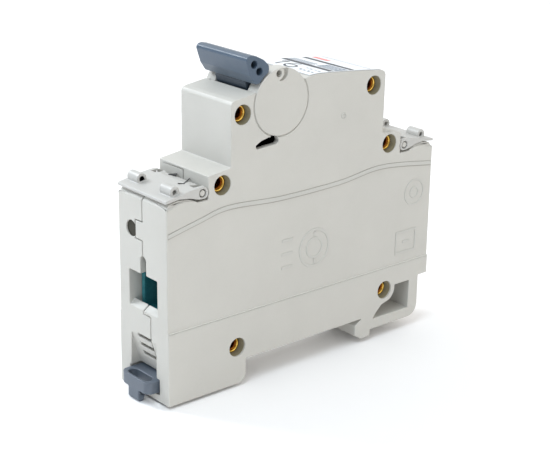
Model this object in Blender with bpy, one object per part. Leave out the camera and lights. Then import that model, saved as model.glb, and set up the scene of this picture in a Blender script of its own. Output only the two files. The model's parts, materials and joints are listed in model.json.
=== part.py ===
"""Single-pole circuit breaker for a 35 mm rail, 18 mm wide, lying on its rail side.

Case coordinates are in millimetres: x from the outgoing end, y from the near side and z from the
underside of the clip foot. The model's origin is the centre of the rail seat, +Z towards the toggle.
"""

import math

import bmesh
import bpy
from mathutils import Matrix, Vector

MM = 0.001

# Driving dimensions
LENGTH = 78.8
WIDTH = 18.0
FRONT_LOW_X = 16.93
FRONT_HIGH_X = 62.05
RAIL_LEFT_X = 21.35
RAIL_RIGHT_X = 57.0
SEAT_Z = 5.6
STEP_Z = 17.1
SIDE_STEP = 0.25
WALL = 1.6
SEAM = 0.24
FRONT_SEAM_Y = 16.2
FRONT_SEAM_Z = 49.5
GAP = 0.3
MIDDLE_Y = WIDTH / 2
ORIGIN = Vector(((RAIL_LEFT_X + RAIL_RIGHT_X) / 2, MIDDLE_Y, SEAT_Z))

# Toggle
TOGGLE_X = 30.85
TOGGLE_Z = 63.1
HUB_RADIUS = 7.5
DRUM_RADIUS = 6.6
DRUM_LOW_Y = 3.9
DRUM_HIGH_Y = 14.3
SLOT_LOW_Y = 3.5
SLOT_HIGH_Y = 14.7
TOGGLE_PIN_RADIUS = 1.2
TOGGLE_END = 0.35
CRANK_RADIUS = 4.3
CRANK_ANGLE = 320.0

# Contact mechanism
ARM_X = 33.5
ARM_Z = 46.0
ARM_OPEN = 12.5
ARM_PIN_RADIUS = 1.2
TRIP_X = 27.0
TRIP_Z = 40.0
TRIP_PIN_RADIUS = 1.0
LATCH_LOW_Y = 8.0
LATCH_HIGH_Y = 10.2
ARM_LOW_Y = 11.3
ARM_HIGH_Y = 13.9
LINK_Y = 12.6
LINK_HOLE = (34.2, 52.4)
LINK_SLOT_DOWN = 1.05
LINK_SLOT_UP = 0.2
LINK_SLOT_SHIFT = 0.11
LINK_SLOT_RADIUS = 1.0

# Magnetic trip
COIL_Z = 33.5
COIL_RADIUS = 4.2
COIL_WIRE = 0.7
COIL_TURNS = 6

# Terminals
SCREW_X = 7.0
SCREW_Y = 9.1
CAGE_LOW_X = 3.0
CAGE_HIGH_X = 11.0
CAGE_LOW_Z = 16.9
CAGE_HIGH_Z = 32.8
PLATE_LOW_Z = 28.4
PLATE_HIGH_Z = 29.6
WINDOW_LOW_Y = 3.95
WINDOW_HIGH_Y = 14.2
WINDOW_LOW_Z = 19.6
WINDOW_HIGH_Z = 28.0

# Covers, rivets, rail clip
HINGE_X = 9.5
HINGE_Z = 46.7
HINGE_PIN_RADIUS = 0.7
COVER_EAR = 1.35
HINGE_LUG_Y = 2.7
RIVETS = ((20.17, 61.92), (58.46, 62.67), (14.77, 47.44), (64.24, 47.92), (18.9, 8.94), (64.4, 11.27))
RIVET_SINK = 2.8
CLIP_LOW_Y = 3.9
CLIP_HIGH_Y = 14.1
CLIP_LOW_Z = 2.1
CLIP_HIGH_Z = 4.9
CLIP_FRONT_X = -2.9
CLIP_TIP_X = 22.9

for old in list(bpy.data.objects):
    bpy.data.objects.remove(old)


def material(name, colour, roughness, metallic=0.0):
    made = bpy.data.materials.new(name)
    made.use_nodes = True
    shader = made.node_tree.nodes["Principled BSDF"]
    shader.inputs["Base Color"].default_value = (*colour, 1.0)
    shader.inputs["Roughness"].default_value = roughness
    shader.inputs["Metallic"].default_value = metallic
    return made


HOUSING = material("housing_plastic", (0.60, 0.59, 0.56), 0.5)
COVER = material("cover_plastic", (0.66, 0.65, 0.63), 0.45)
TOGGLE = material("toggle_plastic", (0.13, 0.17, 0.22), 0.4)
CLIP = material("clip_plastic", (0.17, 0.21, 0.26), 0.45)
INNER = material("inner_plastic", (0.05, 0.05, 0.055), 0.5)
BRASS = material("brass", (0.75, 0.52, 0.18), 0.3, 1.0)
STEEL = material("zinc_steel", (0.50, 0.55, 0.57), 0.35, 1.0)
COPPER = material("copper", (0.72, 0.38, 0.25), 0.35, 1.0)
SILVER = material("silver", (0.85, 0.85, 0.83), 0.3, 1.0)
FIBRE = material("fibre", (0.45, 0.16, 0.10), 0.8)
LABEL = material("label_foil", (0.80, 0.81, 0.82), 0.4)


def finish(name, bm, look, pivot=None):
    """Makes an object of a mesh drawn in case millimetres, with its own origin at the pivot."""
    origin = Vector(pivot) if pivot else ORIGIN
    bmesh.ops.recalc_face_normals(bm, faces=bm.faces)
    bmesh.ops.transform(bm, matrix=Matrix.Scale(MM, 4) @ Matrix.Translation(-origin), verts=bm.verts)
    mesh = bpy.data.meshes.new(name)
    bm.to_mesh(mesh)
    bm.free()
    mesh.shade_smooth()
    mesh.set_sharp_from_angle(angle=math.radians(35))
    made = bpy.data.objects.new(name, mesh)
    made.location = (origin - ORIGIN) * MM
    bpy.context.scene.collection.objects.link(made)
    if look:
        mesh.materials.append(look)
    return made


def arc(centre, radius, start, end, steps):
    """Points on a circle, from one angle to another, in degrees."""
    turn = [math.radians(start + (end - start) * i / steps) for i in range(steps + 1)]
    return [(centre[0] + radius * math.cos(a), centre[1] + radius * math.sin(a)) for a in turn]


def circle(centre, radius, steps):
    return arc(centre, radius, 0, 360, steps)[:-1]


def place(axis, point, along):
    """A point of an outline drawn across an axis: (x, z) across Y, (y, z) across X, (x, y) across Z."""
    a, b = point
    return {"X": (along, a, b), "Y": (a, along, b), "Z": (a, b, along)}[axis]


def prism(name, outline, low, high, look=None, axis="Y", pivot=None):
    bm = bmesh.new()
    bottom = [bm.verts.new(place(axis, p, low)) for p in outline]
    top = [bm.verts.new(place(axis, p, high)) for p in outline]
    bm.faces.new(bottom)
    bm.faces.new(top)
    for i in range(len(outline)):
        j = (i + 1) % len(outline)
        bm.faces.new((bottom[i], bottom[j], top[j], top[i]))
    return finish(name, bm, look, pivot)


def box(name, low, high, look=None, pivot=None):
    outline = [(low[0], low[2]), (high[0], low[2]), (high[0], high[2]), (low[0], high[2])]
    return prism(name, outline, low[1], high[1], look, "Y", pivot)


def rod(name, axis, centre, radius, low, high, look=None, steps=16, pivot=None):
    return prism(name, circle(centre, radius, steps), low, high, look, axis, pivot)


def turned(name, profile, axis, centre, look=None, steps=16, pivot=None):
    """A closed (radius, along) profile turned about an axis. Points at radius 0 lie on the axis."""
    bm = bmesh.new()
    rings = []
    for radius, along in profile:
        if radius == 0:
            rings.append([bm.verts.new(place(axis, centre, along))])
            continue
        rings.append([bm.verts.new(place(axis, p, along)) for p in circle(centre, radius, steps)])
    for ring, after in zip(rings, rings[1:] + rings[:1]):
        if len(ring) == 1 and len(after) == 1:
            continue
        for i in range(steps):
            j = (i + 1) % steps
            near = [ring[i % len(ring)], ring[j % len(ring)]]
            far = [after[j % len(after)], after[i % len(after)]]
            bm.faces.new(list(dict.fromkeys(near + far)))
    return finish(name, bm, look, pivot)


def wire(name, points, radius, look, sides=5, pivot=None):
    """A round wire swept along points, with flat ends."""
    bm = bmesh.new()
    path = [Vector(p) for p in points]
    rings = []
    across = None
    for i, here in enumerate(path):
        ahead = (path[min(i + 1, len(path) - 1)] - path[max(i - 1, 0)]).normalized()
        if across is None:
            across = ahead.orthogonal()
        across = (across - ahead * across.dot(ahead)).normalized()
        beside = ahead.cross(across)
        ring = []
        for k in range(sides):
            a = 2 * math.pi * k / sides
            ring.append(bm.verts.new(here + radius * (math.cos(a) * across + math.sin(a) * beside)))
        rings.append(ring)
    for ring, after in zip(rings, rings[1:]):
        for k in range(sides):
            m = (k + 1) % sides
            bm.faces.new((ring[k], ring[m], after[m], after[k]))
    bm.faces.new(rings[0])
    bm.faces.new(rings[-1])
    return finish(name, bm, look, pivot)


def helix(axis, centre, radius, low, high, turns, start=0.0, per_turn=8):
    """Points of a coil round an axis, from one end to the other."""
    count = round(turns * per_turn)
    points = []
    for i in range(count + 1):
        a = math.radians(start + 360 * turns * i / count)
        across = (centre[0] + radius * math.cos(a), centre[1] + radius * math.sin(a))
        points.append(place(axis, across, low + (high - low) * i / count))
    return points


def combine(target, tool, operation):
    tool.hide_render = True
    tool.display_type = "WIRE"
    change = target.modifiers.new(tool.name, "BOOLEAN")
    change.operation = operation
    change.object = tool
    return target


def cut(target, *tools):
    for tool in tools:
        combine(target, tool, "DIFFERENCE")


def join(target, *tools):
    for tool in tools:
        combine(target, tool, "UNION")


def mirrored(outline):
    """The same outline at the incoming end."""
    return [(LENGTH - x, z) for x, z in outline]


def turn_about(outline, centre, degrees):
    """An (x, z) outline turned about +Y, which carries +Z towards +X."""
    a = math.radians(degrees)
    turned_points = []
    for x, z in outline:
        dx, dz = x - centre[0], z - centre[1]
        turned_points.append((
            centre[0] + dx * math.cos(a) + dz * math.sin(a),
            centre[1] - dx * math.sin(a) + dz * math.cos(a),
        ))
    return turned_points


# ---------------------------------------------------------------- housing

HUB = (TOGGLE_X, TOGGLE_Z)
BACK_LEFT = [(0, 0), (20.0, 0), (RAIL_LEFT_X, 1.35), (RAIL_LEFT_X, SEAT_Z)]
HOOK = [(RAIL_RIGHT_X, SEAT_Z), (54.95, 4.3), (55.05, 1.75), (57.1, 0.4), (60.0, 0.6), (60.0, 2.1)]
RIGHT_FOOT = arc((72.9, 5.1), 3.0, -90, 0, 5) + [(75.9, 12.45), (LENGTH, 12.45)]
EAR_SEAT = [(0, 44.75), (0.9, 45.85), (3.3, 46.3), (5.9, 46.0), (7.4, 45.45), (8.0, 45.0)]
EAR_STEP = [(-1, 44.57), (3.0, 45.5), (4.8, 45.8), (6.2, 45.6), (8.3, 45.2), (8.3, 49.0), (-1, 49.0)]
SHOULDER_LEFT = [(10.95, 45.0), (10.95, 50.07), (FRONT_LOW_X, 50.84)]
FRONT_FACE = [
    (FRONT_HIGH_X, 64.7), (61.75, 65.45), (61.0, 65.85), (53.6, 66.65), (49.0, 67.1), (45.6, 67.42),
    (41.5, 67.68), (39.0, 67.6), (37.9, 67.35), (23.0, 66.0), (20.9, 65.7), (18.3, 65.35),
    (17.35, 65.05), (FRONT_LOW_X, 64.4),
]


def outer_outline():
    shoulder_right = mirrored([*EAR_SEAT, *SHOULDER_LEFT])
    return (
        BACK_LEFT + HOOK + RIGHT_FOOT
        + shoulder_right + FRONT_FACE
        + SHOULDER_LEFT[::-1] + EAR_SEAT[::-1]
    )


CAVITY = [
    (WALL, 15.0), (4.5, 7.1), (57.6, 7.1), (57.6, 14.1), (LENGTH - WALL, 14.1), (LENGTH - WALL, 43.3),
    (60.4, 43.3), (60.4, 64.4), (49.0, 65.4), (39.0, 65.8), (22.0, 64.2), (18.5, 63.8), (18.5, 43.3),
    (WALL, 43.3),
]

# The side pocket in the incoming foot follows the boss of the rivet beside it.
POCKET = (
    [(60.9, 4.7), (72.7, 4.6), (72.8, 11.8), (67.8, 11.8)]
    + arc(RIVETS[5], 3.45, 5, -58, 4)
    + [(63.4, 7.5), (62.0, 6.2)]
)


def seam_line(side):
    """The stepped joint between the shells, (y, z) points, half a seam to one side of it."""
    half = SEAM / 2
    steps = ((18.9, 6.5, 9.1), (35.65, 9.1, 11.65), (39.9, 11.65, 9.1), (FRONT_SEAM_Z, 9.1, FRONT_SEAM_Y))
    line = [(6.5 + side * half, -5.0)]
    for z, below, above in steps:
        edge = z - side * half * (1 if above > below else -1)
        line += [(below + side * half, edge), (above + side * half, edge)]
    return line + [(FRONT_SEAM_Y + side * half, 80.0)]


def wire_entry(shell, flip, tag):
    """The wire window with its sloping sill, and the narrow slot above it."""
    sill = [(-1, 18.9), (0, WINDOW_LOW_Z), (1.8, 20.9), (3, 20.9), (3, WINDOW_HIGH_Z), (-1, WINDOW_HIGH_Z)]
    outline = mirrored(sill) if flip else sill
    low, high = (LENGTH - 2.6, LENGTH + 1) if flip else (-1, 2.6)
    cut(shell, prism(f"window{tag}", outline, WINDOW_LOW_Y, WINDOW_HIGH_Y))
    slot = [(7.95, 27.0), (10.0, 27.0)] + arc((8.975, 31.2), 1.025, 0, 180, 6)
    cut(shell, prism(f"slot{tag}", slot, low, high, axis="X"))


def terminal_room(shell, flip, tag):
    """Side guides, floor and inner partition of one terminal's room, with the ways through them."""
    def span(a, b):
        return (LENGTH - b, LENGTH - a) if flip else (a, b)

    x0, x1 = span(1.0, 12.2)
    join(shell, box(f"guide_near{tag}", (x0, 1.0, 15.2), (x1, WINDOW_LOW_Y, 44.0)))
    join(shell, box(f"guide_far{tag}", (x0, WINDOW_HIGH_Y, 15.2), (x1, 17.0, 44.0)))
    x0, x1 = span(1.0, 13.6)
    join(shell, box(f"floor{tag}", (x0, 1.0, 14.5), (x1, 17.0, 16.2)))
    x0, x1 = span(13.0, 14.4)
    join(shell, box(f"partition{tag}", (x0, 1.0, 14.6), (x1, 17.0, 44.0)))
    x0, x1 = span(12.5, 15.0)
    cut(shell, box(f"plate_way{tag}", (x0, 5.2, 27.9), (x1, 13.0, 30.1)))
    x = LENGTH - SCREW_X if flip else SCREW_X
    cut(shell, rod(f"screw_well{tag}", "Z", (x, SCREW_Y), 2.7, 42.0, 47.0))


def hinge_seat(shell, flip, tag):
    """Clears the top under a terminal cover and leaves a pair of lugs with the hinge stubs."""
    def side(outline):
        return mirrored(outline) if flip else outline

    middle = [(7.7, 44.3), (10.9, 44.3), (10.9, 49.0), (7.7, 49.0)]
    cut(shell, prism(f"seat{tag}", side(middle), COVER_EAR + 0.35, WIDTH - COVER_EAR - 0.35))
    for tag_side, low, high in (("a", -1.0, 0.6), ("b", WIDTH - 0.6, WIDTH + 1)):
        cut(shell, prism(f"ear_step{tag}{tag_side}", side(EAR_STEP), low, high))
    lug = [(8.3, 43.6), (12.0, 43.6), (12.0, 47.5), (9.3, 47.5), (8.75, 47.2), (8.3, 46.4)]
    lug = side(lug)
    hinge = (LENGTH - HINGE_X, HINGE_Z) if flip else (HINGE_X, HINGE_Z)
    inner = COVER_EAR + GAP
    ear_room = circle(hinge, 1.65, 20)
    for tag_side, low, high in (("a", -1.0, inner + 0.1), ("b", WIDTH - inner - 0.1, WIDTH + 1)):
        cut(shell, prism(f"ear_room{tag}{tag_side}", ear_room, low, high))
    for tag_side, low, high in (("a", inner, HINGE_LUG_Y), ("b", WIDTH - HINGE_LUG_Y, WIDTH - inner)):
        join(shell, prism(f"lug{tag}{tag_side}", lug, low, high))
    for tag_side, low, high in (("a", 0.4, 2.3), ("b", WIDTH - 2.3, WIDTH - 0.4)):
        join(shell, rod(f"stub{tag}{tag_side}", "Y", hinge, HINGE_PIN_RADIUS, low, high, steps=12))


def vent_wedge(shell, tag):
    """The sloping recess over the rail clip, with three exhaust slots, and the clip's channel."""
    slope = [(-1, 13.5), (0, 13.5), (2.7, 4.8), (2.7, 4.0), (-1, 4.0)]
    cut(shell, prism(f"wedge{tag}", slope, 4.6, 13.8))
    for i in range(3):
        z = 13.3 - 2.25 * i
        x = 0.1 + 0.7 * i
        cut(shell, box(f"vent{tag}{i}", (x - 1, 6.5, z - 0.42), (x + 4.5, 11.4, z + 0.42)))
    cut(shell, box(f"channel{tag}", (-1, 3.5, 1.6), (RAIL_LEFT_X + 1, 14.5, 5.3)))


def hub_details(shell, tag):
    """The cheeks on both sides of the toggle's drum, each with a round groove in the outer face."""
    outer = SIDE_STEP - 0.05
    for side, low, high in (("a", -1.0, outer + 0.45), ("b", WIDTH - outer - 0.45, WIDTH + 1)):
        cut(shell, rod(f"groove{tag}{side}", "Y", HUB, HUB_RADIUS + 0.28, low, high, steps=48))
    join(shell, rod(f"cheek_near{tag}", "Y", HUB, HUB_RADIUS, outer, SLOT_LOW_Y + 1, steps=48))
    join(shell, rod(f"cheek_far{tag}", "Y", HUB, HUB_RADIUS, SLOT_HIGH_Y - 1, WIDTH - outer, steps=48))
    cut(shell, rod(f"drum_well{tag}", "Y", HUB, HUB_RADIUS + 0.15, SLOT_LOW_Y, SLOT_HIGH_Y, steps=48))
    cut(shell, rod(f"pin_bore{tag}", "Y", HUB, TOGGLE_PIN_RADIUS + 0.15, 1.5, WIDTH - 1.5))
    eye = (30.0, 69.4)
    cut(shell, rod(f"dimple{tag}", "Y", eye, 0.75, -1, 2.0, steps=14))
    rim = ((2.55, 28), (2.62, 10), (2.5, -14), (2.3, -32), (1.95, -58), (1.6, -80))
    crescent = [(eye[0] + r * math.cos(math.radians(a)), eye[1] + r * math.sin(math.radians(a))) for r, a in rim]
    crescent += arc(eye, 1.45, -84, 32, 6)
    cut(shell, prism(f"crescent{tag}", crescent, -1, 1.2))
    slot = [
        (23.75, 54.45), (24.1, 53.6), (27.4, 53.85), (29.5, 53.9), (30.3, 54.5), (29.9, 55.5),
        (29.0, 55.9), (27.4, 55.75), (25.2, 55.25),
    ]
    for side, low, high in (("a", -1.0, 3.0), ("b", WIDTH - 3.0, WIDTH + 1)):
        cut(shell, prism(f"arc_slot{tag}{side}", slot, low, high))


def rivet_holes(shell, tag):
    for i, centre in enumerate(RIVETS):
        cut(shell, rod(f"bore{tag}{i}", "Y", centre, 1.65, -1, WIDTH + 1))
        cut(shell, rod(f"sink{tag}{i}a", "Y", centre, 2.22, -1, RIVET_SINK, steps=20))
        cut(shell, rod(f"sink{tag}{i}b", "Y", centre, 2.22, WIDTH - RIVET_SINK, WIDTH + 1, steps=20))


def clip_post(shell, tag):
    join(shell, box(f"post{tag}", (7.7, 7.9, 1.0), (8.9, 10.1, 6.0)))


def housing(name, side):
    """One of the two shells: side is -1 for the near cover and 1 for the far base."""
    tag = "_near" if side < 0 else "_far"
    shell = prism(name, outer_outline(), 0, WIDTH, HOUSING)
    cut(shell, box(f"relief{tag}a", (-5, -1, STEP_Z), (LENGTH + 5, SIDE_STEP, 90)))
    cut(shell, box(f"relief{tag}b", (-5, WIDTH - SIDE_STEP, STEP_Z), (LENGTH + 5, WIDTH + 1, 90)))
    cut(shell, prism(f"cavity{tag}", CAVITY, SIDE_STEP + 1.5, WIDTH - SIDE_STEP - 1.5))
    for i, centre in enumerate(RIVETS):
        join(shell, rod(f"boss{tag}{i}", "Y", centre, 3.1, 1.0, WIDTH - 1.0, steps=20))
    terminal_room(shell, False, f"_l{tag}")
    terminal_room(shell, True, f"_r{tag}")
    hub_details(shell, tag)
    wire_entry(shell, False, f"_l{tag}")
    wire_entry(shell, True, f"_r{tag}")
    vent_wedge(shell, tag)
    clip_post(shell, tag)
    hinge_seat(shell, False, f"_l{tag}")
    hinge_seat(shell, True, f"_r{tag}")
    cut(shell, prism(f"pocket{tag}", POCKET, -1, WIDTH + 1))
    rivet_holes(shell, tag)
    cut(shell, rod(f"adjuster_way{tag}", "X", (12.9, 37.5), 1.75, 11.0, 16.0))
    if side > 0:
        cut(shell, rod("adjuster_door", "X", (13.1, 37.5), 1.85, -1, 2.6))
    line = seam_line(side)
    far_corner = -30.0 if side > 0 else 50.0
    other_half = line + [(far_corner, 80.0), (far_corner, -5.0)]
    cut(shell, prism(f"other_half{tag}", other_half, -10, LENGTH + 10, axis="X"))
    if side > 0:
        join(shell, rod("far_disc", "Y", HUB, HUB_RADIUS - 0.02, SLOT_HIGH_Y + 0.02, 16.9, steps=48))
        cut(shell, rod("far_bore", "Y", HUB, TOGGLE_PIN_RADIUS + 0.15, 13.0, WIDTH - 1.5))
    else:
        cut(shell, rod("far_disc_room", "Y", HUB, HUB_RADIUS + 0.28, SLOT_HIGH_Y - 0.2, 17.0, steps=48))
    return shell


housing("housing_cover", -1)
housing("housing_base", 1)


def rivet(name, centre):
    """A hollow rivet: both ends are flared over the bottoms of the counterbores."""
    low = RIVET_SINK - GAP
    high = WIDTH - low
    profile = [
        (0.95, low - 0.35), (1.5, low - 0.6), (2.0, low - 0.25), (1.95, low), (1.4, low + 0.35),
        (1.4, high - 0.35), (1.95, high), (2.0, high + 0.25), (1.5, high + 0.6), (0.95, high + 0.35),
    ]
    return turned(name, profile, "Y", centre, BRASS, steps=12)


for number, spot in enumerate(RIVETS, 1):
    rivet(f"rivet_{number}", spot)


# ---------------------------------------------------------------- toggle

def crank(radius=CRANK_RADIUS, angle=CRANK_ANGLE):
    a = math.radians(angle)
    return (TOGGLE_X + radius * math.cos(a), TOGGLE_Z + radius * math.sin(a))


def make_toggle():
    pivot = (TOGGLE_X, MIDDLE_Y, TOGGLE_Z)
    head = (
        [(23.5, 67.95), (22.15, 69.9), (21.0, 73.2), (21.15, 73.8), (21.65, 74.15), (22.4, 74.25)]
        + [(23.7, 74.0), (25.8, 72.95), (27.2, 71.6), (27.3, 70.9)]
        + arc(HUB, 7.85, 118, 142, 5)
    )
    toggle = prism("toggle", head, TOGGLE_END, WIDTH - TOGGLE_END, TOGGLE, pivot=pivot)
    neck = [(24.0, 68.5), (25.3, 66.7), (27.5, 63.0), (31.5, 66.5), (28.9, 69.9), (26.6, 71.0)]
    join(toggle, prism("neck", neck, DRUM_LOW_Y, DRUM_HIGH_Y))
    join(toggle, rod("drum", "Y", HUB, DRUM_RADIUS, DRUM_LOW_Y - 0.01, DRUM_HIGH_Y + 0.01, steps=40))
    cut(toggle, rod("drum_bore", "Y", HUB, TOGGLE_PIN_RADIUS + 0.2, 0, WIDTH))
    cut(toggle, rod("spring_pocket", "Y", HUB, 4.3, 0, 8.9, steps=24))
    cut(toggle, box("link_room", (20, 11.6, 50), (42, 16, 62.6)))
    cut(toggle, rod("crank_hole", "Y", crank(), 0.85, 9.0, 15.0, steps=12))
    for i, centre in enumerate(((23.15, 72.25), (24.6, 70.6))):
        cut(toggle, rod(f"tie_hole{i}", "Y", centre, 0.85, 0, 4.5, steps=14))
        cut(toggle, rod(f"tie_hole_far{i}", "Y", centre, 0.85, WIDTH - 4.5, WIDTH, steps=14))
    return toggle


make_toggle()
rod("toggle_pin", "Y", HUB, TOGGLE_PIN_RADIUS, 1.8, WIDTH - 1.8, STEEL)
wire("toggle_spring", helix("Y", HUB, 3.2, 6.4, 8.4, 2.25, 30), 0.4, STEEL)


def make_link():
    top = crank()
    bottom = turn_about([LINK_HOLE], (ARM_X, ARM_Z), ARM_OPEN)[0]
    points = [
        (top[0], 9.4, top[1]), (top[0], 12.0, top[1]), (top[0], 12.5, top[1] - 0.25),
        (top[0] + 0.05, LINK_Y, top[1] - 0.8), (bottom[0] - 0.05, LINK_Y, bottom[1] + 0.8),
        (bottom[0], 12.5, bottom[1] + 0.25), (bottom[0], 12.0, bottom[1]), (bottom[0], 8.3, bottom[1]),
    ]
    wire("link_wire", points, 0.6, STEEL, sides=6, pivot=(top[0], LINK_Y, top[1]))


make_link()


# ---------------------------------------------------------------- contact mechanism

ARM = (ARM_X, ARM_Z)
ARM_SHUT = [
    (36.6, 23.3), (37.9, 23.0), (38.6, 24.6), (38.6, 29.0), (37.4, 34.0), (36.4, 42.0), (35.9, 47.0),
    (34.6, 48.9), (32.4, 48.9), (31.0, 47.2), (31.2, 44.5), (33.6, 37.5), (35.4, 30.0), (35.9, 25.0),
]
LATCH_SHUT = [
    (32.0, 44.0), (35.0, 44.0), (36.0, 46.0), (35.7, 49.0), (36.1, 52.0), (35.3, 54.2), (33.2, 54.2),
    (32.2, 52.6), (27.0, 52.2), (26.6, 50.75), (28.6, 50.75), (31.0, 50.4), (31.5, 48.0), (31.1, 46.0),
]
TRIP_OUTLINE = [
    (24.6, 30.8), (26.2, 30.8), (27.6, 36.4), (29.4, 38.8), (29.4, 41.2), (28.0, 43.0), (27.6, 46.6),
    (28.4, 49.0), (28.4, 50.2), (26.2, 50.2), (25.2, 45.2), (22.0, 44.4), (22.0, 42.8), (25.0, 42.4),
    (24.7, 39.2), (24.6, 36.0),
]
PLATE_OUTLINE = [(24.8, 37.8), (29.6, 37.8), (36.4, 43.2), (36.4, 48.8), (31.2, 49.4), (24.8, 42.6)]


def make_mechanism():
    arm_pivot = (ARM_X, MIDDLE_Y, ARM_Z)
    opened = turn_about(ARM_SHUT, ARM, ARM_OPEN)
    arm = prism("contact_arm", opened, ARM_LOW_Y, ARM_HIGH_Y, COPPER, pivot=arm_pivot)
    cut(arm, rod("arm_bore", "Y", ARM, ARM_PIN_RADIUS + 0.2, 5, 17))
    tip = turn_about([(38.9, 25.6), (39.7, 25.8), (39.7, 28.2), (38.9, 28.4)], ARM, ARM_OPEN)
    prism("moving_contact_tip", tip, 11.5, 13.7, SILVER, pivot=arm_pivot)
    raised = turn_about(LATCH_SHUT, ARM, ARM_OPEN)
    latch = prism("latch_lever", raised, LATCH_LOW_Y, LATCH_HIGH_Y, INNER, pivot=arm_pivot)
    cut(latch, rod("latch_bore", "Y", ARM, ARM_PIN_RADIUS + 0.2, 5, 17))
    x = LINK_HOLE[0] + LINK_SLOT_SHIFT
    low, high = LINK_HOLE[1] - LINK_SLOT_DOWN, LINK_HOLE[1] + LINK_SLOT_UP
    slot = arc((x, high), LINK_SLOT_RADIUS, 0, 180, 6) + arc((x, low), LINK_SLOT_RADIUS, 180, 360, 6)
    cut(latch, prism("link_slot", turn_about(slot, ARM, ARM_OPEN), 5, 12))
    rod("arm_pin", "Y", ARM, ARM_PIN_RADIUS, 4.6, 16.0, STEEL)
    wire("arm_spring", helix("Y", ARM, 2.3, 5.1, 7.3, 3), 0.3, STEEL)
    trip_pivot = (TRIP_X, MIDDLE_Y, TRIP_Z)
    lever = prism("trip_lever", TRIP_OUTLINE, LATCH_LOW_Y, LATCH_HIGH_Y, INNER, pivot=trip_pivot)
    cut(lever, rod("trip_bore", "Y", (TRIP_X, TRIP_Z), TRIP_PIN_RADIUS + 0.2, 5, 17))
    rod("trip_pin", "Y", (TRIP_X, TRIP_Z), TRIP_PIN_RADIUS, 7.4, 16.0, STEEL)
    wire("trip_spring", helix("Y", (TRIP_X, TRIP_Z), 1.8, 10.9, 14.6, 4), 0.25, STEEL)
    plate = prism("mechanism_plate", PLATE_OUTLINE, 15.0, 15.9, STEEL)
    cut(plate, rod("plate_bore_arm", "Y", ARM, ARM_PIN_RADIUS + 0.2, 5, 17))
    cut(plate, rod("plate_bore_trip", "Y", (TRIP_X, TRIP_Z), TRIP_PIN_RADIUS + 0.2, 5, 17))


make_mechanism()


# ---------------------------------------------------------------- arc chute and fixed contact

def make_arc_chute():
    strap = [(24.0, 7.6), (42.2, 7.6), (42.2, 30.5), (41.0, 30.5), (41.0, 8.6), (24.0, 8.6)]
    prism("fixed_contact", strap, 10.5, 14.3, COPPER)
    box("fixed_contact_tip", (40.0, 11.3, 25.6), (40.7, 13.9, 28.6), SILVER)
    box("upper_arc_runner", (24.0, 4.2, 20.4), (35.8, 13.8, 21.2), STEEL)
    box("arc_cheek_near", (23.7, 3.0, 9.0), (38.0, 3.6, 20.1), FIBRE)
    box("arc_cheek_far", (23.7, 14.4, 9.0), (38.0, 15.0, 20.1), FIBRE)
    mouth = [
        (24.0, 4.0), (37.6, 4.0), (37.6, 7.0), (31.5, 8.6), (31.5, 9.4), (37.6, 11.0), (37.6, 14.0),
        (24.0, 14.0),
    ]
    for i in range(8):
        z = 9.6 + 1.28 * i
        prism(f"arc_plate_{i + 1}", mouth, z, z + 0.8, STEEL, axis="Z")


make_arc_chute()


# ---------------------------------------------------------------- magnetic trip

def make_magnet():
    centre = (MIDDLE_Y, COIL_Z)
    start = [(42.6, 12.4, 26.9), (44.6, 12.4, 26.8), (46.6, 12.3, 26.9), (47.5, 11.6, 27.5)]
    turns = helix("X", centre, COIL_RADIUS, 47.9, 56.3, COIL_TURNS, -60, 12)
    end = [(56.6, 12.3, 28.6), (57.2, 11.4, 27.0), (58.6, 10.2, 26.6), (60.4, 9.4, 26.9), (61.9, 9.2, 27.3)]
    wire("coil", start + turns + end, COIL_WIRE, COPPER, sides=6)
    bobbin = [
        (2.75, 45.4), (5.1, 45.4), (5.1, 46.2), (3.3, 46.2), (3.3, 58.0), (5.1, 58.0), (5.1, 58.7),
        (2.75, 58.7),
    ]
    turned("coil_bobbin", bobbin, "X", centre, INNER, steps=20)
    frame = [
        (43.8, 28.7), (45.0, 28.7), (45.0, 39.0), (59.0, 39.0), (59.0, 28.7), (60.2, 28.7), (60.2, 40.2),
        (43.8, 40.2),
    ]
    yoke = prism("coil_yoke", frame, 5.5, 12.5, STEEL)
    cut(yoke, rod("striker_way", "X", centre, 1.4, 42, 47))
    cut(yoke, rod("plunger_way", "X", centre, 2.9, 57, 62, steps=20))
    core = [(1.25, 45.3), (2.4, 45.3), (2.4, 50.0), (1.25, 50.0)]
    turned("fixed_core", core, "X", centre, STEEL)
    rod("plunger", "X", centre, 2.35, 53.6, 61.6, STEEL, pivot=(53.6, *centre))
    rod("striker_pin", "X", centre, 0.85, 31.4, 53.3, BRASS, steps=12, pivot=(53.6, *centre))
    wire("plunger_spring", helix("X", centre, 1.6, 50.6, 53.0, 3.5), 0.25, STEEL)


make_magnet()


# ---------------------------------------------------------------- terminals and thermal trip

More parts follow.
